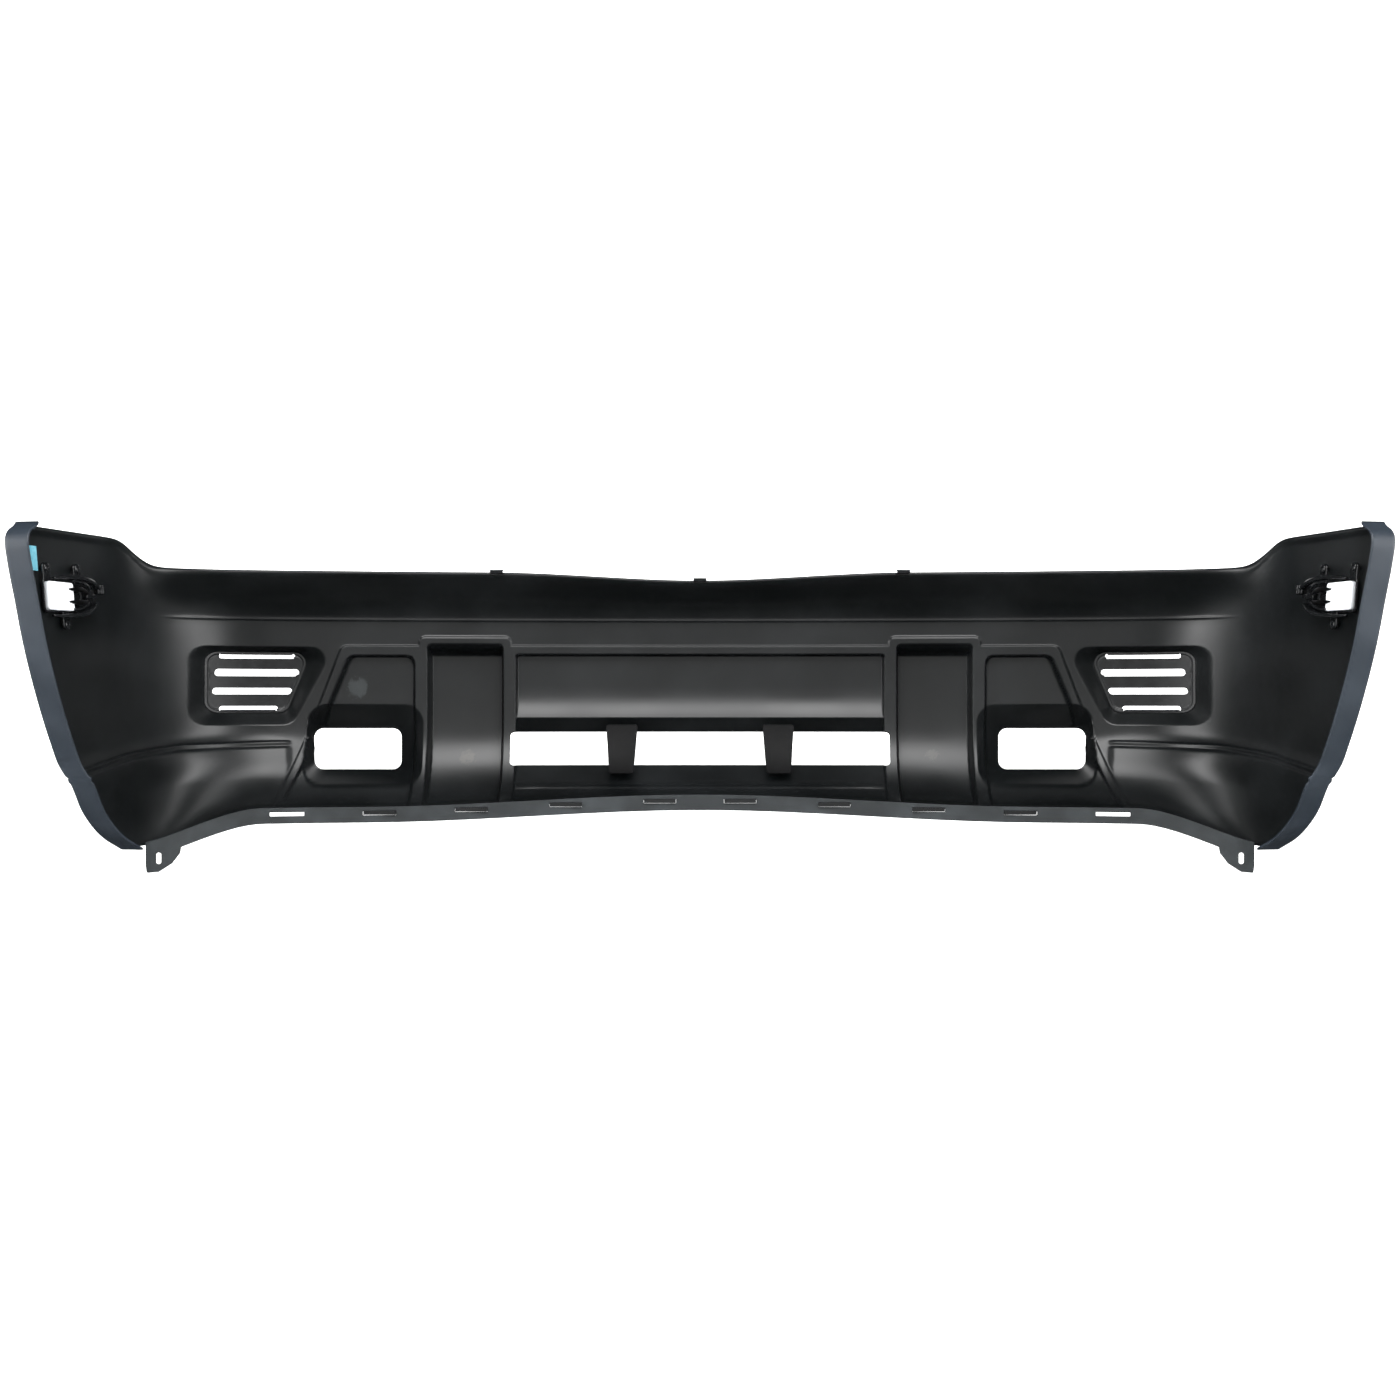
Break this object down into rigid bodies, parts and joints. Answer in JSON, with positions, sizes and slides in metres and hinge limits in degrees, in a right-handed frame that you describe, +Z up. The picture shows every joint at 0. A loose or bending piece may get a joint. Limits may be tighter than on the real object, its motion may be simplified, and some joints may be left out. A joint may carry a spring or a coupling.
{
  "type": "bumper cover",
  "caption": "Moulded front bumper cover with wheel-arch wings, lamp and vent openings, a lower intake, wing brackets and a slotted lower strip.",
  "frame": {"origin": "midway across and midway front to back, on the level of the lowest tab ends", "axes": "+Z up, +Y to the front of the car, +X to the right as seen from behind the cover"},
  "size_m": [1.861, 0.5959, 0.4951],
  "materials": {
    "skin_plastic": "satin moulded black polypropylene blend",
    "strip_plastic": "matt dark grey polypropylene",
    "grille_plastic": "matt grained dark grey",
    "bracket_plastic": "glossy black",
    "nylon": "natural white nylon",
    "clip_plastic": "black",
    "rivet_plastic": "black",
    "clip_steel": "phosphated spring steel",
    "film": "clear blue film"
  },
  "bodies": {
    "root": {"cover_skin": "skin_plastic", "lower_strip": "strip_plastic", "strip_tongues": "skin_plastic", "strut_left": "skin_plastic", "strut_right": "skin_plastic", "vent_grille_left": "grille_plastic", "vent_grille_right": "grille_plastic", "side_bracket_left": "bracket_plastic", "side_bracket_right": "bracket_plastic", "fender_guide_left": "nylon", "fender_guide_right": "nylon", "spring_clip_left": "clip_plastic", "spring_clip_right": "clip_plastic", "bracket_rivets_left": "rivet_plastic", "bracket_rivets_right": "rivet_plastic", "top_clip_left": "clip_steel", "top_clip_centre": "clip_steel", "top_clip_right": "clip_steel", "protective_film": "film"}
  },
  "joints": []
}
